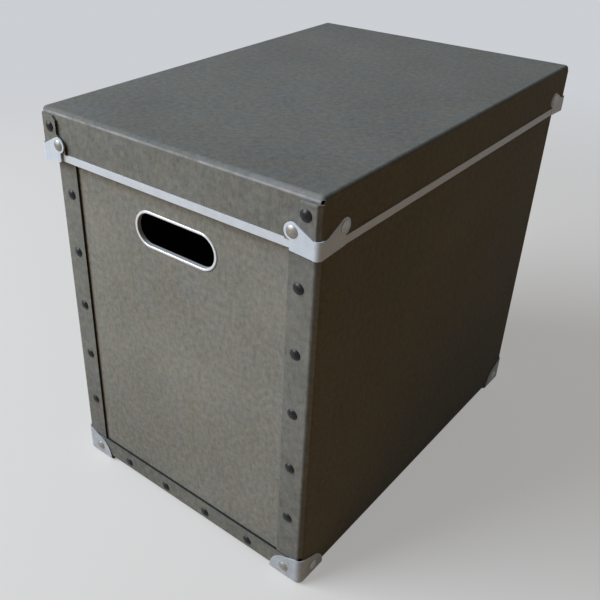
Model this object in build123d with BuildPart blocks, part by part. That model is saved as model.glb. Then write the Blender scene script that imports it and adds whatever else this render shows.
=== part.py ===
"""File box of hard fibre board with a lift-off lid, millimetres, +Z up.

Origin: centre of the footprint, on the surface that the box stands on.
The end panels with the hand slots face -Y and +Y, the long sides face +X and -X.
"""

import math
import os

from build123d import *

# Board
BOARD = 2.0  # thickness of the folded fibre board
INNER_BEND = 2.0  # inside radius of the tray's folds
NEAR_FULL = 0.99  # rounds an inner fold's end almost to the fold's own radius

# Tray
TRAY_W = 244.0  # across the long sides
TRAY_D = 352.0  # over the end flaps
TRAY_BOTTOM = 3.0  # underside of the board, held up by the metal corners
TRAY_RIM = 327.5  # top edge of all four walls
CORNER_FOLD = 5.5  # outside radius of the upright folds below the slits
FOLD_FACET = 3.4  # setback of the flat that scoring leaves on the folds above them
FOLD_EASE = 3.0  # rounding of the flat's two arrises
BOTTOM_FOLD = 4.0  # outside radius of the folds along the bottom
SIDE_FLAP = 23.0  # width of the upright end flaps
BOTTOM_FLAP = 20.0  # height of the lower end flaps
FLAP_SLIT = 0.8  # cut between a side flap and the bottom flap
CORNER_RELIEF = 2.4  # board cut back from each lower corner, below the slit
FOLD_HOLE_R = 2.0  # round hole through each upright fold above the slit
FOLD_HOLE_Z = 26.3

# End panels
PANEL_W = 238.8
PANEL_FOOT = 5.2
PANEL_EDGE = 1.8  # rounding of the edges that lie in the folds
PANEL_CORNER = 2.2

# Hand slots
SLOT_W = 74.0  # clear opening inside the grommet
SLOT_H = 25.0
SLOT_Z = 259.3
SLOT_PLAY = 0.1  # between the grommet's tube and the board
GROMMET_WALL = 0.9
GROMMET_FLANGE = 2.0  # how far the bead stands out past the clear opening
GROMMET_BEAD = 0.8  # thickness of the bead on the panel
BEAD_ROUND = 0.55
GROMMET_TAIL = 0.7  # how far the tube reaches past the panel's inner face
RING_WIDTH = 2.6
RING_THICK = 0.6

# Lid
LID_W = 251.0  # over the long skirts
LID_D = 362.0  # over the end skirts, without the corner flaps
LID_TOP = 330.0
LID_RIM = 292.8  # cut lower edge of the board
LID_CREASE = 3.2  # outside radius of the four creases round the top
LID_FACET = 2.8  # setback of the flat on the upright folds into the corner flaps
LID_EASE = 1.6  # rounding of that flat's two arrises
LID_CORNER = 3.3  # rounding of the top's four corners, a little more than its creases
LID_BEND = 1.5  # inside radius of the lid's folds
FLAP_TOP = 325.5
FLAP_WIDE = 25.0  # width of a corner flap beside its plate's lobe
FLAP_NARROW = 17.0  # width of a corner flap above the lobe
FLAP_NOTCH = 15.8  # width below the lobe, cut back for the edging strip
FLAP_SLOPE = 7.5  # height of the sloping step from wide to narrow
FLAP_TIP = 3.0  # slanted cut at the flap's upper corner
LID_HOLE_R = 1.3  # small round hole where three folds meet
LID_HOLE_Z = 326.7

# Edging strip on the lid's rim
TRIM = 0.8
TRIM_TOP = 298.0
TRIM_ROUND = 0.5
TRIM_PLAY = 0.2  # gap between a long side's strip and the corner plate
TRIM_TUCK = 4.5  # how far an end's strip runs in behind the plate

# Corner plates on the lid, measured from the upright edge (u) along each face
PLATE = 1.0
PLATE_FOLD = 3.5  # radius of the plate's fold, midway in the metal
END_LOBE_U = 19.0  # centre of the round lobe on the end
SIDE_LOBE_U = 24.5
LOBE_Z = 304.7
LOBE_R = 6.0
PLATE_FOOT = 290.6  # lower edge at the upright edge, rising to the edging's own
END_ARM = 20.5  # length of the arm on the end, along its lower edge
SIDE_ARM = 26.0
PLATE_VERTEX = 303.2  # top of the plate at the upright edge
END_RISE_U = 3.5  # where the upper edge starts to rise to the lobe
SIDE_RISE_U = 7.5

# Pressed corners under the tray, measured in the same way
FOOT = 1.0
FOOT_ARM = 29.0
FOOT_ARM_END = 3.5  # height of the upright end of each arm
FOOT_CREST_U = 14.5
FOOT_CREST_Z = 22.0
FOOT_VERTEX = 26.0
SOLE_LEG = 27.0  # leg of the triangular sole under the bottom

# Rivets
SHANK_R = 1.7
HOLE_R = 1.85
HEAD_R = 4.1
HEAD_H = 1.9
HEAD_RIM = 0.3  # upright edge under the dome
BRIGHT_HEAD_R = 4.2
BRIGHT_HEAD_H = 1.7
TAIL_R = 3.1
TAIL_H = 0.7
FLAP_RIVET_INSET = 14.5
FLAP_RIVET_Z = (65.0, 114.5, 164.0, 213.5, 263.0, 311.0)
BOTTOM_RIVET_X = (-69.0, -23.0, 23.0, 69.0)
BOTTOM_RIVET_Z = 12.0
FOOT_RIVET_U = 15.5
FOOT_RIVET_Z = 11.5
LID_RIVET_INSET = 10.2
LID_RIVET_Z = 317.2

# Places that follow from the sizes above
half_w = TRAY_W / 2
half_d = TRAY_D / 2
panel_face = half_d - BOARD
panel_back = panel_face - BOARD
flap_foot = TRAY_BOTTOM + BOTTOM_FLAP
slot_hole = (SLOT_W + 2 * (GROMMET_WALL + SLOT_PLAY), SLOT_H + 2 * (GROMMET_WALL + SLOT_PLAY))
flap_rivet_x = half_w - FLAP_RIVET_INSET
foot_rivet_x = half_w - FOOT_RIVET_U
foot_rivet_y = half_d - FOOT_RIVET_U
lid_half_w = LID_W / 2
lid_half_d = LID_D / 2
lid_flap_face = lid_half_d + BOARD
lid_rivet_x = lid_half_w - LID_RIVET_INSET
lobe_x = lid_half_w - END_LOBE_U
lobe_y = lid_flap_face - SIDE_LOBE_U
edging_foot = LID_RIM - TRIM

# Views of the faces: local x and y are (X, Z) on the front and (Y, Z) on the right
FRONT = Plane(origin=(0, 0, 0), x_dir=(1, 0, 0), z_dir=(0, -1, 0))
RIGHT = Plane(origin=(0, 0, 0), x_dir=(0, 1, 0), z_dir=(1, 0, 0))

os.makedirs("parts", exist_ok=True)


def save(name, part):
    """Label one finished piece and write it to its own STEP file."""
    part.label = name
    export_step(part, f"parts/{name}.step")


def save_ends(name, front):
    """Write a front piece and the like piece at the back."""
    save(f"front_{name}", front)
    save(f"back_{name}", mirror(front, about=Plane.XZ))


def four_corners(front_right):
    """One shape at the front right, front left, back right and back left corners."""
    front_left = mirror(front_right, about=Plane.YZ)
    back_right = mirror(front_right, about=Plane.XZ)
    return front_right, front_left, back_right, mirror(front_left, about=Plane.XZ)


def save_corners(name, front_right):
    """Write a front right corner piece and the like pieces at the other corners."""
    corners = ("front_right", "front_left", "back_right", "back_left")
    for corner, piece in zip(corners, four_corners(front_right)):
        save(f"{name}_{corner}", piece)


def corner_planes(x, y):
    """Planes for one outline on both faces of the front right corner.

    Local x runs along the face away from the upright edge, local y is height.
    """
    front = Plane(origin=(x, -y, 0), x_dir=(-1, 0, 0), z_dir=(0, 1, 0))
    side = Plane(origin=(x, -y, 0), x_dir=(0, 1, 0), z_dir=(1, 0, 0))
    return front, side


def fold_hole(x, y, z, radius, reach):
    """Round hole that looks out of the front right corner, to be cut through a fold."""
    with BuildPart() as hole:
        with BuildSketch(Plane(origin=(x, -y, z), x_dir=(0, 0, 1), z_dir=(1, -1, 0))):
            Circle(radius)
        extrude(amount=reach, both=True)
    return hole.part


def touch_point(start, centre, radius):
    """Where a line from start touches the upper side of a circle."""
    run = centre[0] - start[0]
    rise = centre[1] - start[1]
    slope = math.atan2(rise, run) + math.asin(radius / math.hypot(run, rise))
    return centre[0] - radius * math.sin(slope), centre[1] + radius * math.cos(slope)


def on_front(depth, places):
    """Rivet seats on a face that looks forward, depth in front of the centre."""
    return [Plane(origin=(x, -depth, z), x_dir=(1, 0, 0), z_dir=(0, -1, 0)) for x, z in places]


def on_right(reach, places):
    """Rivet seats on a face that looks right, reach from the centre."""
    return [Plane(origin=(reach, y, z), x_dir=(0, 1, 0), z_dir=(1, 0, 0)) for y, z in places]


def rivet(grip, head_r=HEAD_R, head_h=HEAD_H):
    """Domed head above the seat, shank through the grip, flat set tail under it."""
    tail = -grip - TAIL_H
    crown = head_h - HEAD_RIM
    dome_r = (head_r**2 + crown**2) / (2 * crown)
    with BuildPart() as turned:
        with BuildSketch(Plane.XZ):
            with BuildLine():
                RadiusArc((head_r, HEAD_RIM), (0, head_h), -dome_r)
                Line((0, head_h), (0, tail))
                Polyline((0, tail), (TAIL_R, tail), (TAIL_R, -grip), (SHANK_R, -grip))
                Polyline((SHANK_R, -grip), (SHANK_R, 0), (head_r, 0), (head_r, HEAD_RIM))
            make_face()
        revolve(axis=Axis.Z)
    return turned.part


def rivet_group(*seated):
    """Like rivets, each its own solid, from pairs of a rivet and its seats."""
    with BuildPart() as group:
        for one, seats in seated:
            with Locations(*seats):
                add(one)
    return group.part


# Tray wrap: bottom, two long sides and six end flaps, folded from one sheet
end_holes = [(x, z) for x in (-flap_rivet_x, flap_rivet_x) for z in FLAP_RIVET_Z]
end_holes += [(x, BOTTOM_RIVET_Z) for x in BOTTOM_RIVET_X]
end_holes += [(x, FOOT_RIVET_Z) for x in (-foot_rivet_x, foot_rivet_x)]
side_holes = [(y, FOOT_RIVET_Z) for y in (-foot_rivet_y, foot_rivet_y)]

with BuildPart() as tray_cavity:
    with BuildSketch(Plane.XY.offset(TRAY_BOTTOM + BOARD)):
        RectangleRounded(TRAY_W - 2 * BOARD, TRAY_D - 2 * BOARD, INNER_BEND)
    extrude(amount=TRAY_RIM)
    fillet(tray_cavity.edges().group_by(Axis.Z)[0], INNER_BEND * NEAR_FULL)

with BuildPart() as tray_wrap:
    with BuildSketch(Plane.XY.offset(TRAY_BOTTOM)):
        RectangleRounded(TRAY_W, TRAY_D, CORNER_FOLD)
    extrude(amount=flap_foot - TRAY_BOTTOM)
    fillet(tray_wrap.edges().group_by(Axis.Z)[0], BOTTOM_FOLD)
    # From the slits up, the folds keep the narrow flat that the scoring tool left
    with BuildSketch(Plane.XY.offset(flap_foot)) as walls:
        Rectangle(TRAY_W, TRAY_D)
        chamfer(walls.vertices(), FOLD_FACET)
        fillet(walls.vertices(), FOLD_EASE)
    extrude(amount=TRAY_RIM - flap_foot)
    add(tray_cavity.part, mode=Mode.SUBTRACT)
    # The ends are open between the flaps, where the panels show
    with BuildSketch(FRONT):
        with Locations((0, flap_foot)):
            Rectangle(TRAY_W - 2 * SIDE_FLAP, TRAY_RIM, align=(Align.CENTER, Align.MIN))
    extrude(amount=TRAY_D, both=True, mode=Mode.SUBTRACT)
    # A slit parts each side flap from the bottom flap
    with Locations((0, -half_d, flap_foot), (0, half_d, flap_foot)):
        Box(
            TRAY_W,
            2 * CORNER_FOLD,
            FLAP_SLIT,
            align=(Align.CENTER, Align.CENTER, Align.MIN),
            mode=Mode.SUBTRACT,
        )
    # Below the slit the sheet is not joined round the upright corners
    with GridLocations(TRAY_W, TRAY_D, 2, 2):
        Box(
            2 * CORNER_RELIEF,
            2 * CORNER_RELIEF,
            flap_foot,
            align=(Align.CENTER, Align.CENTER, Align.MIN),
            mode=Mode.SUBTRACT,
        )
    with BuildSketch(FRONT):
        with Locations(*end_holes):
            Circle(HOLE_R)
    extrude(amount=TRAY_D, both=True, mode=Mode.SUBTRACT)
    with BuildSketch(RIGHT):
        with Locations(*side_holes):
            Circle(HOLE_R)
    extrude(amount=TRAY_W, both=True, mode=Mode.SUBTRACT)
    for hole in four_corners(fold_hole(half_w, half_d, FOLD_HOLE_Z, FOLD_HOLE_R, 2 * BOARD)):
        add(hole, mode=Mode.SUBTRACT)
save("tray_wrap", tray_wrap.part)

# End panels: set behind the flaps, their edges eased into the folds
with BuildPart() as front_panel:
    with BuildSketch(FRONT.offset(panel_back)) as outline:
        with Locations((0, PANEL_FOOT)):
            Rectangle(PANEL_W, TRAY_RIM - PANEL_FOOT, align=(Align.CENTER, Align.MIN))
        fillet(outline.vertices().group_by(Axis.Y)[0], PANEL_CORNER)
    extrude(amount=BOARD)
    face_edges = front_panel.faces().sort_by(Axis.Y)[0].edges()
    fillet(face_edges.sort_by(Axis.Z)[:-1], PANEL_EDGE)
    with BuildSketch(FRONT):
        with Locations((0, SLOT_Z)):
            SlotOverall(*slot_hole)
        with Locations(*end_holes):
            Circle(HOLE_R)
    extrude(amount=TRAY_D, mode=Mode.SUBTRACT)
save_ends("panel", front_panel.part)

# Hand slot grommets: a rounded bead outside, a tube through the board
with BuildPart() as front_grommet:
    with BuildSketch(FRONT.offset(panel_face)):
        with Locations((0, SLOT_Z)):
            SlotOverall(SLOT_W + 2 * GROMMET_FLANGE, SLOT_H + 2 * GROMMET_FLANGE)
    extrude(amount=GROMMET_BEAD)
    with BuildSketch(FRONT.offset(panel_face)):
        with Locations((0, SLOT_Z)):
            SlotOverall(SLOT_W + 2 * GROMMET_WALL, SLOT_H + 2 * GROMMET_WALL)
    extrude(amount=-BOARD - GROMMET_TAIL)
    with BuildSketch(FRONT):
        with Locations((0, SLOT_Z)):
            SlotOverall(SLOT_W, SLOT_H)
    extrude(amount=TRAY_D, mode=Mode.SUBTRACT)
    fillet(front_grommet.faces().sort_by(Axis.Y)[0].edges(), BEAD_ROUND)
save_ends("slot_grommet", front_grommet.part)

# Clinch rings: flat rings round the tube on the inside of the panel
with BuildPart() as front_ring:
    with BuildSketch(FRONT.offset(panel_back)):
        with Locations((0, SLOT_Z)):
            SlotOverall(slot_hole[0] + 2 * RING_WIDTH, slot_hole[1] + 2 * RING_WIDTH)
            SlotOverall(*slot_hole, mode=Mode.SUBTRACT)
    extrude(amount=-RING_THICK)
save_ends("slot_clinch_ring", front_ring.part)

# Black rivets through the tray's end flaps and panels
flap_rivet = rivet(2 * BOARD)
right_seats = on_front(half_d, [(flap_rivet_x, z) for z in FLAP_RIVET_Z])
left_seats = on_front(half_d, [(-flap_rivet_x, z) for z in FLAP_RIVET_Z])
bottom_seats = on_front(half_d, [(x, BOTTOM_RIVET_Z) for x in BOTTOM_RIVET_X])
save_ends("right_flap_rivets", rivet_group((flap_rivet, right_seats)))
save_ends("left_flap_rivets", rivet_group((flap_rivet, left_seats)))
save_ends("bottom_flap_rivets", rivet_group((flap_rivet, bottom_seats)))

# Pressed tray corners: two arms and a small sole, drawn round the corner of the box
with BuildPart() as corner_core:
    with BuildSketch(Plane.XY.offset(FOOT)) as footprint:
        Rectangle(TRAY_W, TRAY_D)
        fillet(footprint.vertices(), CORNER_FOLD - FOOT)
    extrude(amount=TRAY_RIM)
    fillet(corner_core.edges().group_by(Axis.Z)[0], BOTTOM_FOLD - FOOT)

with BuildPart() as corner_outline:
    for plane in corner_planes(half_w, half_d):
        with BuildSketch(plane):
            with BuildLine():
                Polyline((-FOOT, FOOT_VERTEX), (-FOOT, 0), (FOOT_ARM, 0), (FOOT_ARM, FOOT_ARM_END))
                TangentArc((FOOT_ARM, FOOT_ARM_END), (FOOT_CREST_U, FOOT_CREST_Z), tangent=(0, 1))
                Line((FOOT_CREST_U, FOOT_CREST_Z), (CORNER_FOLD, FOOT_VERTEX))
                Line((CORNER_FOLD, FOOT_VERTEX), (-FOOT, FOOT_VERTEX))
            make_face()
        extrude(amount=CORNER_FOLD, both=True)
    with BuildSketch(Plane.XY):
        with BuildLine():
            Polyline(
                (half_w, -half_d),
                (half_w - SOLE_LEG, -half_d),
                (half_w, -half_d + SOLE_LEG),
                close=True,
            )
        make_face()
    extrude(amount=FOOT)

with BuildPart() as tray_corner:
    with BuildSketch(Plane.XY) as footprint:
        Rectangle(TRAY_W + 2 * FOOT, TRAY_D + 2 * FOOT)
        fillet(footprint.vertices(), CORNER_FOLD)
    extrude(amount=TRAY_RIM)
    fillet(tray_corner.edges().group_by(Axis.Z)[0], BOTTOM_FOLD)
    add(corner_core.part, mode=Mode.SUBTRACT)
    add(corner_outline.part, mode=Mode.INTERSECT)
    with BuildSketch(FRONT):
        with Locations((foot_rivet_x, FOOT_RIVET_Z)):
            Circle(HOLE_R)
    extrude(amount=TRAY_D, mode=Mode.SUBTRACT)
    with BuildSketch(RIGHT):
        with Locations((-foot_rivet_y, FOOT_RIVET_Z)):
            Circle(HOLE_R)
    extrude(amount=TRAY_W, mode=Mode.SUBTRACT)
save_corners("tray_corner", tray_corner.part)

# Bright rivets of the tray corners, through corner, flap and panel or corner and side
foot_front_rivet = rivet(FOOT + 2 * BOARD, BRIGHT_HEAD_R, BRIGHT_HEAD_H)
foot_side_rivet = rivet(FOOT + BOARD, BRIGHT_HEAD_R, BRIGHT_HEAD_H)
foot_front_seat = on_front(half_d + FOOT, [(foot_rivet_x, FOOT_RIVET_Z)])
foot_side_seat = on_right(half_w + FOOT, [(-foot_rivet_y, FOOT_RIVET_Z)])
tray_corner_rivets = rivet_group(
    (foot_front_rivet, foot_front_seat),
    (foot_side_rivet, foot_side_seat),
)
save_corners("tray_corner_rivets", tray_corner_rivets)

# Lid sheet: top and four skirts, with corner flaps lapped over the end skirts
with BuildPart() as lid_cavity:
    with BuildSketch(Plane.XY.offset(LID_RIM)):
        RectangleRounded(LID_W - 2 * BOARD, LID_D - 2 * BOARD, LID_BEND)
    extrude(amount=LID_TOP - BOARD - LID_RIM)
    fillet(lid_cavity.edges().group_by(Axis.Z)[-1], LID_BEND * NEAR_FULL)

with BuildPart() as corner_flap:
    with BuildSketch(Plane(origin=(lid_half_w, -lid_flap_face, 0), x_dir=(-1, 0, 0), z_dir=(0, 1, 0))):
        with BuildLine():
            Polyline(
                (0, LID_RIM),
                (FLAP_NOTCH, LID_RIM),
                (FLAP_NOTCH, TRIM_TOP + TRIM_PLAY),
                (FLAP_WIDE, TRIM_TOP + TRIM_PLAY),
                (FLAP_WIDE, LOBE_Z),
            )
            Polyline(
                (FLAP_WIDE, LOBE_Z),
                (FLAP_NARROW, LOBE_Z + FLAP_SLOPE),
                (FLAP_NARROW, FLAP_TOP - FLAP_TIP),
                (FLAP_NARROW - FLAP_TIP, FLAP_TOP),
                (0, FLAP_TOP),
                (0, LID_RIM),
            )
        make_face()
    # The flap and the end skirt behind it, so that the two join
    extrude(amount=BOARD + 2 * LID_CORNER)

with BuildSketch() as lid_walls:
    Rectangle(LID_W, 2 * lid_flap_face)
    chamfer(lid_walls.vertices(), LID_FACET)
    fillet(lid_walls.vertices(), LID_EASE)

with BuildPart() as fold_waste:
    with BuildSketch(Plane.XY.offset(LID_RIM)):
        with Locations((lid_half_w, -lid_flap_face)):
            Rectangle(4 * LID_FACET, 4 * LID_FACET)
        add(lid_walls.sketch, mode=Mode.SUBTRACT)
    extrude(amount=FLAP_TOP - LID_RIM)

with BuildPart() as lid_sheet:
    with BuildSketch(Plane.XY.offset(LID_RIM)):
        RectangleRounded(LID_W, LID_D, LID_CORNER)
    extrude(amount=LID_TOP - LID_RIM)
    fillet(lid_sheet.edges().group_by(Axis.Z)[-1], LID_CREASE)
    for flap in four_corners(corner_flap.part):
        add(flap)
    for waste in four_corners(fold_waste.part):
        add(waste, mode=Mode.SUBTRACT)
    add(lid_cavity.part, mode=Mode.SUBTRACT)
    with BuildSketch(FRONT):
        with Locations(*[(x, LOBE_Z) for x in (-lobe_x, lobe_x)]):
            Circle(HOLE_R)
        with Locations(*[(x, LID_RIVET_Z) for x in (-lid_rivet_x, lid_rivet_x)]):
            Circle(HOLE_R)
    extrude(amount=LID_D, both=True, mode=Mode.SUBTRACT)
    with BuildSketch(RIGHT):
        with Locations(*[(y, LOBE_Z) for y in (-lobe_y, lobe_y)]):
            Circle(HOLE_R)
    extrude(amount=LID_W, both=True, mode=Mode.SUBTRACT)
    for hole in four_corners(fold_hole(lid_half_w, lid_half_d, LID_HOLE_Z, LID_HOLE_R, 2 * BOARD)):
        add(hole, mode=Mode.SUBTRACT)
save("lid_sheet", lid_sheet.part)


# Edging strips: metal channel pushed up over the rim of each skirt
def edging(out, face, half_length):
    """Channel along one skirt, out being the direction that the skirt faces."""
    across = Plane(origin=(0, 0, 0), x_dir=out, z_dir=(out[1], -out[0], 0))
    with BuildPart() as strip:
        with BuildSketch(across):
            with Locations((face + TRIM, edging_foot)):
                Rectangle(
                    BOARD + 2 * TRIM,
                    TRIM_TOP - LID_RIM + TRIM,
                    align=(Align.MAX, Align.MIN),
                )
            with Locations((face, LID_RIM)):
                Rectangle(BOARD, TRIM_TOP, align=(Align.MAX, Align.MIN), mode=Mode.SUBTRACT)
        extrude(amount=half_length, both=True)
        low_edges = strip.edges().group_by(Axis.Z)[0].sort_by(SortBy.LENGTH)
        fillet(low_edges[-2:], TRIM_ROUND)
    return strip.part


front_trim_half = lid_half_w - END_ARM + TRIM_TUCK
side_trim_half = lid_flap_face - SIDE_ARM - TRIM_PLAY
front_trim = edging((0, -1, 0), lid_half_d, front_trim_half)
right_trim = edging((1, 0, 0), lid_half_w, side_trim_half)
save("lid_trim_front", front_trim)
save("lid_trim_back", mirror(front_trim, about=Plane.XZ))
save("lid_trim_right", right_trim)
save("lid_trim_left", mirror(right_trim, about=Plane.YZ))

# Lid corner plates: bent strips that rise from the rim's corner to a lobe on each face
arms = ((END_LOBE_U, END_ARM, END_RISE_U), (SIDE_LOBE_U, SIDE_ARM, SIDE_RISE_U))
with BuildPart() as plate_outline:
    for plane, (lobe_u, arm, rise_u) in zip(corner_planes(lid_half_w, lid_flap_face), arms):
        with BuildSketch(plane):
            with BuildLine():
                Polyline(
                    (-PLATE, PLATE_FOOT),
                    (0, PLATE_FOOT),
                    (arm, edging_foot),
                    (arm, LOBE_Z),
                    touch_point((rise_u, PLATE_VERTEX), (lobe_u, LOBE_Z), LOBE_R),
                    (rise_u, PLATE_VERTEX),
                    (-PLATE, PLATE_VERTEX),
                    close=True,
                )
            make_face()
            with Locations((lobe_u, LOBE_Z)):
                Circle(LOBE_R)
        extrude(amount=PLATE_FOLD, both=True)

with BuildPart() as lid_plate:
    with BuildSketch(Plane.XY.offset(PLATE_FOOT)) as ring:
        Rectangle(LID_W + 2 * PLATE, 2 * (lid_flap_face + PLATE))
        fillet(ring.vertices(), PLATE_FOLD + PLATE / 2)
    extrude(amount=LID_TOP - PLATE_FOOT)
    with BuildSketch(Plane.XY.offset(PLATE_FOOT)) as inner_ring:
        Rectangle(LID_W, 2 * lid_flap_face)
        fillet(inner_ring.vertices(), PLATE_FOLD - PLATE / 2)
    extrude(amount=LID_TOP - PLATE_FOOT, mode=Mode.SUBTRACT)
    add(plate_outline.part, mode=Mode.INTERSECT)
    with BuildSketch(FRONT):
        with Locations((lobe_x, LOBE_Z)):
            Circle(HOLE_R)
    extrude(amount=LID_D, mode=Mode.SUBTRACT)
    with BuildSketch(RIGHT):
        with Locations((-lobe_y, LOBE_Z)):
            Circle(HOLE_R)
    extrude(amount=LID_W, mode=Mode.SUBTRACT)
save_corners("lid_corner", lid_plate.part)

# Bright rivets of the lid's corner plates
plate_front_rivet = rivet(PLATE + 2 * BOARD, BRIGHT_HEAD_R, BRIGHT_HEAD_H)
plate_side_rivet = rivet(PLATE + BOARD, BRIGHT_HEAD_R, BRIGHT_HEAD_H)
plate_front_seat = on_front(lid_flap_face + PLATE, [(lobe_x, LOBE_Z)])
plate_side_seat = on_right(lid_half_w + PLATE, [(-lobe_y, LOBE_Z)])
lid_corner_rivets = rivet_group(
    (plate_front_rivet, plate_front_seat),
    (plate_side_rivet, plate_side_seat),
)
save_corners("lid_corner_rivets", lid_corner_rivets)

# Black rivets high on the lid's corner flaps
lid_flap_seats = on_front(lid_flap_face, [(x, LID_RIVET_Z) for x in (-lid_rivet_x, lid_rivet_x)])
save_ends("lid_flap_rivets", rivet_group((rivet(2 * BOARD), lid_flap_seats)))
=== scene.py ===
"""Looks of the fibre board file box: metres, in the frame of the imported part."""

import math

import bpy
from mathutils import Matrix, Vector

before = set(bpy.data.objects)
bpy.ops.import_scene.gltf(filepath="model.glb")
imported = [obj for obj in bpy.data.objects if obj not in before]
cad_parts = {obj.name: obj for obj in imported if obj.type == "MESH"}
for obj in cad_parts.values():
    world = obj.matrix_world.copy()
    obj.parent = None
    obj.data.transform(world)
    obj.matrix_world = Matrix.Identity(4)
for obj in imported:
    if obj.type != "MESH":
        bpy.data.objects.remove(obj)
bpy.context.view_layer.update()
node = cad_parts


# Tray wrap
# One sheet of hard grey-brown fibre board, scored and folded into the bottom, two long
# sides and six end flaps. The cut edges are nearly black, dark enough to paint the shade in
# the slits and beside the flaps' free edges too. Painted shade darkens the upright folds and
# the board towards the floor, and the crease under the bottom flaps is a little rubbed.
class Shade:
    """A value on its way through a finish. Arithmetic on it adds Math nodes."""

    def __init__(self, tree, socket=None):
        self.tree = tree
        self.socket = socket

    def node(self, kind, settings=None, sockets=None, out=0):
        """Any other node: its type, its settings, then its sockets' values or links."""
        made = self.tree.nodes.new(f"ShaderNode{kind}")
        for name, setting in (settings or {}).items():
            setattr(made, name, setting)
        for key, value in (sockets or {}).items():
            if isinstance(value, Shade):
                self.tree.links.new(value.socket, made.inputs[key])
            else:
                made.inputs[key].default_value = value
        return Shade(self.tree, made.outputs[out])

    def maths(self, operation, *values, clamp=False):
        settings = {"operation": operation, "use_clamp": clamp}
        return self.node("Math", settings, dict(enumerate(values)))

    def __add__(self, other):
        return self.maths("ADD", self, other)

    __radd__ = __add__

    def __sub__(self, other):
        return self.maths("SUBTRACT", self, other)

    def __rsub__(self, other):
        return self.maths("SUBTRACT", other, self)

    def __mul__(self, other):
        return self.maths("MULTIPLY", self, other)

    __rmul__ = __mul__

    def __abs__(self):
        return self.maths("ABSOLUTE", self)

    def __gt__(self, other):
        return self.maths("GREATER_THAN", self, other)

    def __lt__(self, other):
        return self.maths("LESS_THAN", self, other)

    def max(self, other):
        return self.maths("MAXIMUM", self, other)

    def root(self):
        return self.maths("SQRT", self)

    def held(self):
        """The value kept between 0 and 1."""
        return self.maths("ADD", self, 0.0, clamp=True)

    def swing(self, amount):
        """A pattern around 0.5 turned into a swing around 0, amount from end to end."""
        return (self - 0.5) * amount

    def ramp(self, low, high):
        """0 below low, 1 above high, with a smooth rise between."""
        limits = {"Value": self, "From Min": low, "From Max": high}
        return self.node("MapRange", {"interpolation_type": "SMOOTHSTEP"}, limits)

    def hairs(self, middle, thinness):
        """1 along the thin lines where a pattern passes its middle, 0 away from them."""
        return (1 - abs(self - middle) * thinness).held()

    def colour(self, rgba):
        """A plain colour to work on."""
        made = self.node("RGB")
        made.socket.default_value = rgba
        return made

    def blend(self, other, share):
        """This colour with a share of another one."""
        return self.node("Mix", {"data_type": "RGBA"}, {0: share, 6: self, 7: other}, out=2)

    def scaled(self, amount):
        """This colour made lighter or darker by a factor."""
        return self.node("VectorMath", {"operation": "SCALE"}, {0: self, "Scale": amount})

    def spot(self, name):
        """A place or a direction on the piece, as its three numbers."""
        vector = self.node("TexCoord", out=name)
        return [vector.node("SeparateXYZ", sockets={0: vector}, out=axis) for axis in "XYZ"]

    def noise(self, scale, detail, roughness=0.6, stretch=(1, 1, 1), distortion=0.0):
        """Cloudy pattern around 0.5, scale in cells to the metre."""
        place = self.node("TexCoord", out="Object")
        place = place.node("Mapping", sockets={"Vector": place, "Scale": stretch})
        sockets = {
            "Vector": place,
            "Scale": scale,
            "Detail": detail,
            "Roughness": roughness,
            "Distortion": distortion,
        }
        return self.node("TexNoise", sockets=sockets)

    def bump(self, height, depth, strength):
        """Surface relief, depth in metres."""
        sockets = {"Height": height, "Distance": depth, "Strength": strength}
        return self.node("Bump", sockets=sockets)


def finish(name, describe):
    """A material whose Principled sockets are what describe says of them."""
    material = bpy.data.materials.new(name)
    material.use_nodes = True
    tree = material.node_tree
    shader = tree.nodes["Principled BSDF"]
    for key, value in describe(Shade(tree)).items():
        if isinstance(value, Shade):
            tree.links.new(value.socket, shader.inputs[key])
        else:
            shader.inputs[key].default_value = value
    return material


CLOSED_GAP = 0.000002
ROUND_STEPS = 2
SHARP_TURN = math.radians(38)  # edges that turn more than this are broken


def dress(name, material, edge):
    """Give a CAD node its finish and break its sharp edges by a small round."""
    piece = node[name]
    piece.data.materials.clear()
    piece.data.materials.append(material)
    weld = piece.modifiers.new("closed", "WELD")
    weld.merge_threshold = CLOSED_GAP
    bevel = piece.modifiers.new("broken_edges", "BEVEL")
    bevel.width = edge
    bevel.segments = ROUND_STEPS
    bevel.limit_method = "ANGLE"
    bevel.angle_limit = SHARP_TURN
    bevel.harden_normals = False
    piece.modifiers.new("faces", "WEIGHTED_NORMAL").keep_sharp = True


WARM_BOARD = (0.215, 0.216, 0.188, 1)
COOL_BOARD = (0.196, 0.211, 0.210, 1)
# near-black of the cut edges, darker than the board's core so that it also paints the shade in
# slits, gaps and beside the flaps' free edges
CUT_EDGE_AND_SHADE = (0.030, 0.031, 0.031, 1)
RUBBED_BOARD = (0.40, 0.42, 0.45, 1)
BOARD_ROUGHNESS = 0.66
BOARD_SHEEN = 0.04
BOARD_RELIEF = 0.00035
CLOUD_TONE = 0.42  # how far each pattern swings the board's tone
MOTTLE_TONE = 0.95
STREAK_TONE = 0.40
PALE_FIBRE_TONE = 0.12
DARK_FIBRE_TONE = 0.16
COOL_SPREAD = 1.7
FLOOR_SHADE_RISE = (0.02, 0.18)  # z over which painted shade near the floor thins out
FLOOR_SHADE_TONE = 0.13
EVEN_WEAR, PATCHY_WEAR, BANDED_WEAR = 0.22, 0.38, 0.40
SCUFF_WEAR = 0.11


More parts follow.
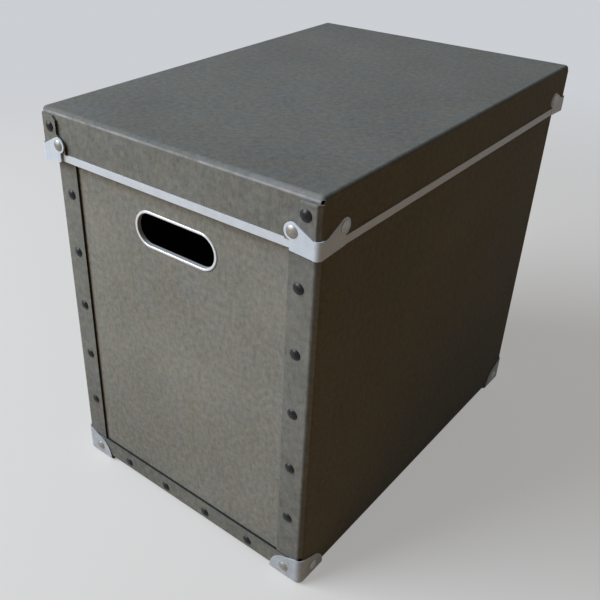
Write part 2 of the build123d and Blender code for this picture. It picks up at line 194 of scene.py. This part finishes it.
def board(name, cut_and_shade, rubbed, tone, coolness):
    """Fibre board finish. The two mask functions give shares of the surface from place and
    facing: the first for the near-black of the cut edges and for painted shade, the second for
    pale wear.
    """

    def describe(start):
        place = start.spot("Object")
        facing = start.spot("Normal")
        clouds = start.noise(11, detail=4)
        mottle = start.noise(230, detail=5, roughness=0.62)
        streaks = start.noise(900, detail=3, stretch=(1, 1, 0.13))
        hair = start.noise(330, detail=2, distortion=1.6)
        dark_hair = start.noise(270, detail=2, distortion=2.2, stretch=(1, 1, 0.5))
        pale_fibres = hair.hairs(0.50, 26)
        dark_fibres = dark_hair.hairs(0.47, 24)
        depth = clouds.swing(CLOUD_TONE) + mottle.swing(MOTTLE_TONE) + streaks.swing(STREAK_TONE)
        fibres = pale_fibres * PALE_FIBRE_TONE - dark_fibres * DARK_FIBRE_TONE
        # painted shade: the board darker towards the floor
        floor_shade = (1 - place[2].ramp(*FLOOR_SHADE_RISE)) * FLOOR_SHADE_TONE
        shade = 1 + depth + fibres - floor_shade
        cool = (start.noise(46, detail=4).swing(COOL_SPREAD) + coolness).held()
        colour = start.colour(WARM_BOARD).blend(COOL_BOARD, cool).scaled(shade * tone)
        scuff_place = start.noise(20, detail=2, stretch=(1, 1, 0.35)).ramp(0.60, 0.72)
        scuff_lines = start.noise(1500, detail=2, stretch=(1, 1, 0.08)).ramp(0.55, 0.70)
        patchy = start.noise(160, detail=4).ramp(0.30, 0.62) * PATCHY_WEAR
        bands = start.noise(24, detail=3).ramp(0.40, 0.60) * BANDED_WEAR
        handled = rubbed(place, facing) * (EVEN_WEAR + patchy + bands)
        worn = (handled + scuff_place * scuff_lines * SCUFF_WEAR).held()
        cut_and_shade_share = cut_and_shade(place, facing)
        relief = mottle * 0.60 + streaks * 0.25 + pale_fibres * 0.15
        roughness = BOARD_ROUGHNESS + mottle.swing(0.25) - worn * 0.08 + cut_and_shade_share * 0.20
        return {
            "Base Color": colour.blend(RUBBED_BOARD, worn).blend(CUT_EDGE_AND_SHADE, cut_and_shade_share),
            "Roughness": roughness,
            "Specular IOR Level": BOARD_SHEEN,
            "Normal": start.bump(relief, BOARD_RELIEF, 0.5),
        }

    return finish(name, describe)


BOARD_EDGE = 0.00022
FACES = 0.6  # least part of a normal along an axis on a face that looks that way
SLIT_FACES = 0.45  # the same in the slits, whose narrow edges are nearly round
FOLD_FACES = (0.10, 0.42)  # product of two parts of the normal on a fold between them
FOLD_SHADE = 0.20  # how far painted shade takes the flat of a fold towards the cut edges' near-black
TRAY_FLAP_FREE = 0.1005  # the side flaps' free edges stand inside this |x|
END_FACE = 0.1738  # |y| beyond which only flaps, corners and rivets lie
TRAY_RIM = 0.3270
SLIT_LOW, SLIT_HIGH = 0.0225, 0.0242
FOOT_CREASE = (0.1715, 0.1726)  # |y| - z over the crease under the bottom flaps
FOOT_CREASE_WEAR = 0.16


def fold_between(one, other):
    """1 on a fold, which looks partly along one axis and partly along the other."""
    return (abs(one) * abs(other)).ramp(*FOLD_FACES)


# cut edges, whose near-black also paints the shade in the slits and beside the side flaps' free
# edges, and painted shade on the upright folds
def tray_cut_and_shade(place, facing):
    x, y, z = place
    side = (abs(facing[0]) > FACES) * (abs(x) < TRAY_FLAP_FREE) * (abs(y) > END_FACE)
    rim = (facing[2] > FACES) * (z > TRAY_RIM)
    slit = (abs(facing[2]) > SLIT_FACES) * (abs(y) > END_FACE) * (z > SLIT_LOW) * (z < SLIT_HIGH)
    return side.max(rim).max(slit).max(fold_between(facing[0], facing[1]) * FOLD_SHADE)


def tray_rubbed(place, facing):
    return (abs(place[1]) - place[2]).ramp(*FOOT_CREASE) * FOOT_CREASE_WEAR


wrap_board = board("wrap_board", tray_cut_and_shade, tray_rubbed, tone=0.88, coolness=0.70)
dress("tray_wrap", wrap_board, BOARD_EDGE)


# End panels
# Flat sheets of the same board, slipped in behind the flaps at the front and the back and
# held there by the rivets. Each has a stamped hand slot below the lid.
PANEL_EDGE = 0.00020
PANEL_BY_FLAP = (0.090, 0.0985)  # |x| over which a panel nears the side flaps
PANEL_WEAR = 0.06
ends = ("front", "back")


def panel_cut(place, facing):
    return abs(facing[1]) < FACES


def panel_rubbed(place, facing):
    return abs(place[0]).ramp(*PANEL_BY_FLAP) * PANEL_WEAR


panel_board = board("panel_board", panel_cut, panel_rubbed, tone=1.08, coolness=0.45)
for end in ends:
    dress(f"{end}_panel", panel_board, PANEL_EDGE)


# Hand slot grommets and clinch rings
# Drawn aluminium: a rolled bead on the outside, a tube through the board and a flat ring
# on the inside that the tube is set over.
SLOT_COLOUR = (0.76, 0.79, 0.82, 1)
SLOT_EDGE = 0.00010


def bright_aluminium(start):
    brushed = start.noise(1800, detail=3, stretch=(0.2, 1, 1))
    marks = start.noise(240, detail=4)
    return {
        "Base Color": start.colour(SLOT_COLOUR).scaled(1 + marks.swing(0.20)),
        "Metallic": 0.50,
        "Roughness": 0.33 + brushed.swing(0.14),
        "Normal": start.bump(brushed, 0.00002, 0.4),
    }


slot_metal = finish("slot_aluminium", bright_aluminium)
for end in ends:
    dress(f"{end}_slot_grommet", slot_metal, SLOT_EDGE)
    dress(f"{end}_slot_clinch_ring", slot_metal, SLOT_EDGE)


# Black rivets
# Small steel rivets with low domed heads, black enamelled. Rows of them hold the flaps to
# the end panels, and one high on each corner flap of the lid holds it to the end skirt.
ENAMEL = (0.007, 0.007, 0.008, 1)
RUBBED_ENAMEL = (0.05, 0.05, 0.055, 1)
BLACK_RIVET_EDGE = 0.00008


def black_enamel(start):
    dust = start.noise(700, detail=4)
    rubbed = start.noise(300, detail=3).ramp(0.56, 0.70)
    dulled = rubbed * 0.40 + dust * 0.10
    return {
        "Base Color": start.colour(ENAMEL).blend(RUBBED_ENAMEL, dulled),
        "Roughness": 0.30 + rubbed * 0.18 + dust.swing(0.12),
        "Specular IOR Level": 0.28,
        "Normal": start.bump(dust, 0.00003, 0.5),
    }


black_rivet = finish("rivet_enamel", black_enamel)
for end in ends:
    for row in ("left_flap", "right_flap", "bottom_flap", "lid_flap"):
        dress(f"{end}_{row}_rivets", black_rivet, BLACK_RIVET_EDGE)


# Pressed tray corners
# Three-sided corners of satin light metal, pressed from sheet, that wrap the lower corners
# and carry the box. A bright rivet holds each arm; its steel is darkened and browned to
# paint in the reflection of a dark brown room.
FOOT_COLOUR = (0.43, 0.485, 0.55, 1)
FOOT_DULLED = 0.16
FOOT_EDGE = 0.00025
# steel darkened and browned: painted reflection of a dark brown room
STEEL_AND_ROOM_REFLECTION = (0.31, 0.288, 0.258, 1)
BRIGHT_RIVET_EDGE = 0.00010


def satin_metal(name, colour, dulled):
    """Satin light metal. dulled is how far handling and the floor have greyed it."""

    def describe(start):
        grain = start.noise(900, detail=4, stretch=(1, 1, 0.3))
        marks = start.noise(130, detail=5, roughness=0.7)
        scratches = start.noise(800, detail=2, stretch=(0.15, 0.15, 1)).ramp(0.62, 0.74) * 0.08
        soiled = start.noise(95, detail=4).ramp(0.42, 0.66) * dulled
        return {
            "Base Color": start.colour(colour).scaled(1 + marks.swing(0.20) - scratches - soiled),
            "Metallic": 0.14,
            "Roughness": 0.50 + marks.swing(0.16) + scratches,
            "Specular IOR Level": 0.22,
            "Normal": start.bump(grain * 0.5 + marks * 0.5, 0.00006, 0.5),
        }

    return finish(name, describe)


def bright_steel(start):
    marks = start.noise(600, detail=4)
    return {
        "Base Color": start.colour(STEEL_AND_ROOM_REFLECTION).scaled(0.97 + marks.swing(0.70)),
        "Metallic": 0.85,
        "Roughness": 0.45 + marks.swing(0.22),
        "Normal": start.bump(marks, 0.00006, 0.8),
    }


foot_metal = satin_metal("foot_metal", FOOT_COLOUR, FOOT_DULLED)
bright_rivet = finish("rivet_steel", bright_steel)
corners = ("front_right", "front_left", "back_right", "back_left")
for corner in corners:
    dress(f"tray_corner_{corner}", foot_metal, FOOT_EDGE)
    dress(f"tray_corner_rivets_{corner}", bright_rivet, BRIGHT_RIVET_EDGE)


# Lid sheet
# A second sheet of the board, scored and folded into the top and four skirts, with corner
# flaps lapped over the end skirts. The creases round the top are rubbed pale, and painted
# shade takes the upright folds and, more lightly, the end creases towards near-black.
LID_RIM = 0.2932
LID_FLAP = 0.18125  # |y| beyond which only the corner flaps lie
LID_FOLD = 0.1219  # |x| where the corner flaps' folds start
LID_FOLD_TOP = 0.3256
LONG_CREASE = (0.4512, 0.4533)  # |x| + z over the rounded crease of the long sides
LONG_CREASE_WEAR = 0.20
END_CREASE = (0.5064, 0.5088)  # |y| + z over the crease of the ends
END_CREASE_SHADE = 0.12  # how far painted shade takes the end creases towards the cut edges' near-black
END_CREASE_WORN = (-0.02, 0.12)  # x over which the wear on that crease grows
END_CREASE_LEAST, END_CREASE_MORE = 0.05, 0.30
ARRIS_LOW = (0.3261, 0.3268)  # z of that crease's lower arris, a thin line worn pale
ARRIS_HIGH = (0.3277, 0.3285)
ARRIS_FACE = 0.1790  # |y| beyond which the arris lies
ARRIS_WEAR = 0.85
FLAP_ARRIS_FACE = 0.1826  # |y| beyond which the corner flaps' outer arrises lie
FLAP_ARRIS_FACES = 0.97
FLAP_ARRIS_WEAR = 0.35


# cut edges of the corner flaps and the rim, and painted shade on the upright folds and the end
# creases
def lid_cut_and_shade(place, facing):
    x, y, z = place
    flap_edge = (abs(facing[1]) < FACES) * (abs(y) > LID_FLAP) * (abs(x) < LID_FOLD)
    flap_edge = flap_edge * (facing[2] < FACES)
    rim = (facing[2] < -FACES) * (z < LID_RIM)
    # painted shade on the upright folds and, more lightly, on the end creases
    upright_fold_shade = fold_between(facing[0], facing[1]) * (z < LID_FOLD_TOP) * FOLD_SHADE
    end_crease = fold_between(facing[1], facing[2]) * END_CREASE_SHADE
    return flap_edge.max(rim).max(upright_fold_shade.max(end_crease))


def lid_rubbed(place, facing):
    x, y, z = place
    long_crease = (abs(x) + z).ramp(*LONG_CREASE) * LONG_CREASE_WEAR
    end_wear = x.ramp(*END_CREASE_WORN) * END_CREASE_MORE + END_CREASE_LEAST
    end_crease = (abs(y) + z).ramp(*END_CREASE) * end_wear
    arris = z.ramp(*ARRIS_LOW) * (1 - z.ramp(*ARRIS_HIGH)) * (abs(y) > ARRIS_FACE)
    flap_arris = (abs(y) > FLAP_ARRIS_FACE) * (abs(facing[1]) < FLAP_ARRIS_FACES)
    flap_arris = flap_arris * (abs(x) < LID_FOLD) * FLAP_ARRIS_WEAR
    return long_crease.max(end_crease).max(flap_arris).max(arris * ARRIS_WEAR)


lid_board = board("lid_board", lid_cut_and_shade, lid_rubbed, tone=0.88, coolness=0.60)
dress("lid_sheet", lid_board, BOARD_EDGE)


# Lid edging
# Thin channel of light metal, pushed up over the lower rim of each skirt. The strips of
# the ends run in behind the corner plates, and those of the long sides stop short of them.
EDGING_COLOUR = (0.61, 0.67, 0.745, 1)
LID_METAL_DULLED = 0.05
EDGING_EDGE = 0.00014

edging_metal = satin_metal("edging_metal", EDGING_COLOUR, LID_METAL_DULLED)
for side in ("front", "back", "left", "right"):
    dress(f"lid_trim_{side}", edging_metal, EDGING_EDGE)


# Lid corner plates
# Plates of the same metal, bent round the lower corners of the lid, with a round lobe on
# each face under a bright rivet.
PLATE_COLOUR = (0.60, 0.68, 0.78, 1)
PLATE_EDGE = 0.00022

plate_metal = satin_metal("plate_metal", PLATE_COLOUR, LID_METAL_DULLED)
for corner in corners:
    dress(f"lid_corner_{corner}", plate_metal, PLATE_EDGE)
    dress(f"lid_corner_rivets_{corner}", bright_rivet, BRIGHT_RIVET_EDGE)


# Studio floor and room
# A plain pale floor that runs out into an even backdrop. The light that it passes on to
# the box is brown, and the room gives a little of the same, for the shaded sides.
BACKDROP = (0.60, 0.62, 0.65, 1)
FLOOR = (0.42, 0.41, 0.40, 1)
FLOOR_GLOW = (0.335, 0.335, 0.335, 1)
BOUNCE = (0.47, 0.255, 0.06, 1)
ROOM = (0.066, 0.050, 0.032, 1)
FLOOR_RADIUS = 4.0
FLOOR_SIDES = 96
RUN_OUT = (0.55, 1.35)  # distance from the box over which the floor turns into backdrop


def seen(start):
    """1 where the camera or a reflection looks, 0 for light that the room passes on."""
    rays = ("Is Camera Ray", "Is Glossy Ray", "Is Transmission Ray")
    camera_ray, glossy_ray, clear_ray = [start.node("LightPath", out=ray) for ray in rays]
    return camera_ray.max(glossy_ray).max(clear_ray)


def pale_floor(start):
    return {
        "Base Color": start.colour(BOUNCE).blend(FLOOR, seen(start)),
        "Emission Color": start.colour(FLOOR_GLOW).scaled(seen(start)),
        "Emission Strength": 1.0,
        "Roughness": 0.7,
        "Specular IOR Level": 0.2,
    }


def mix_output(start, output, share, first, second):
    """Lead two shaders to a tree's output, with a share of the second one."""
    mixed = start.node("MixShader", sockets={0: share, 1: first, 2: second})
    start.tree.links.new(mixed.socket, start.tree.nodes[output].inputs["Surface"])


bpy.ops.mesh.primitive_circle_add(
    vertices=FLOOR_SIDES,
    radius=FLOOR_RADIUS,
    fill_type="NGON",
)
floor = bpy.context.object
floor.name = "floor"
floor_look = finish("floor", pale_floor)
start = Shade(floor_look.node_tree)
x, y = start.spot("Object")[:2]
far_out = (x * x + y * y).root().ramp(*RUN_OUT)
near_box = Shade(start.tree, start.tree.nodes["Principled BSDF"].outputs[0])
backdrop = start.node("Emission", sockets={"Color": BACKDROP})
mix_output(start, "Material Output", far_out * seen(start), near_box, backdrop)
floor.data.materials.append(floor_look)

world = bpy.data.worlds.new("room")
bpy.context.scene.world = world
world.use_nodes = True
start = Shade(world.node_tree)
room = start.node("Background", sockets={"Color": ROOM})
beyond = start.node("Background", sockets={"Color": BACKDROP})
mix_output(start, "World Output", seen(start), room, beyond)


# Studio lamp
# One large square lamp, soft and a little cool. It shines on the box from the front left
# and above, so the right-hand side lies in shade.
KEY_FROM = Vector((-0.53, -0.57, 0.56))
KEY_DISTANCE = 3.2
KEY_SIZE = 2.3
KEY_POWER = 126
KEY_COLOUR = (0.94, 1.0, 1.07)

key = bpy.data.lights.new("key", "AREA")
key.shape = "SQUARE"
key.size = KEY_SIZE
key.energy = KEY_POWER
key.color = KEY_COLOUR
key_lamp = bpy.data.objects.new("key", key)
key_lamp.location = KEY_FROM.normalized() * KEY_DISTANCE
key_lamp.rotation_euler = KEY_FROM.to_track_quat("Z", "Y").to_euler()
bpy.context.scene.collection.objects.link(key_lamp)


# Camera
# At the photograph's height and angle. The way back runs from the box to the camera, and
# the roll is the little by which the picture is turned.
EYE = (0.3451, -0.5117, 0.5079)
AZIMUTH, ELEVATION, ROLL = math.radians(40.36), math.radians(31.44), math.radians(0.16)
SENSOR, LENS = 36, 46.88
SHIFT_X, SHIFT_Y = 0.102, -0.006

back = Vector((
    math.sin(AZIMUTH) * math.cos(ELEVATION),
    -math.cos(AZIMUTH) * math.cos(ELEVATION),
    math.sin(ELEVATION),
))
across = Vector((0, 0, 1)).cross(back).normalized()
up = back.cross(across)
rolled = (
    across * math.cos(ROLL) + up * math.sin(ROLL),
    up * math.cos(ROLL) - across * math.sin(ROLL),
    back,
)
lens = bpy.data.cameras.new("camera")
lens.sensor_width = SENSOR
lens.lens = LENS
lens.shift_x = SHIFT_X
lens.shift_y = SHIFT_Y
camera = bpy.data.objects.new("camera", lens)
turn = Matrix(rolled).transposed().to_4x4()
camera.matrix_world = Matrix.Translation(EYE) @ turn
bpy.context.scene.collection.objects.link(camera)
bpy.context.scene.camera = camera

bpy.context.scene.view_settings.view_transform = "Standard"
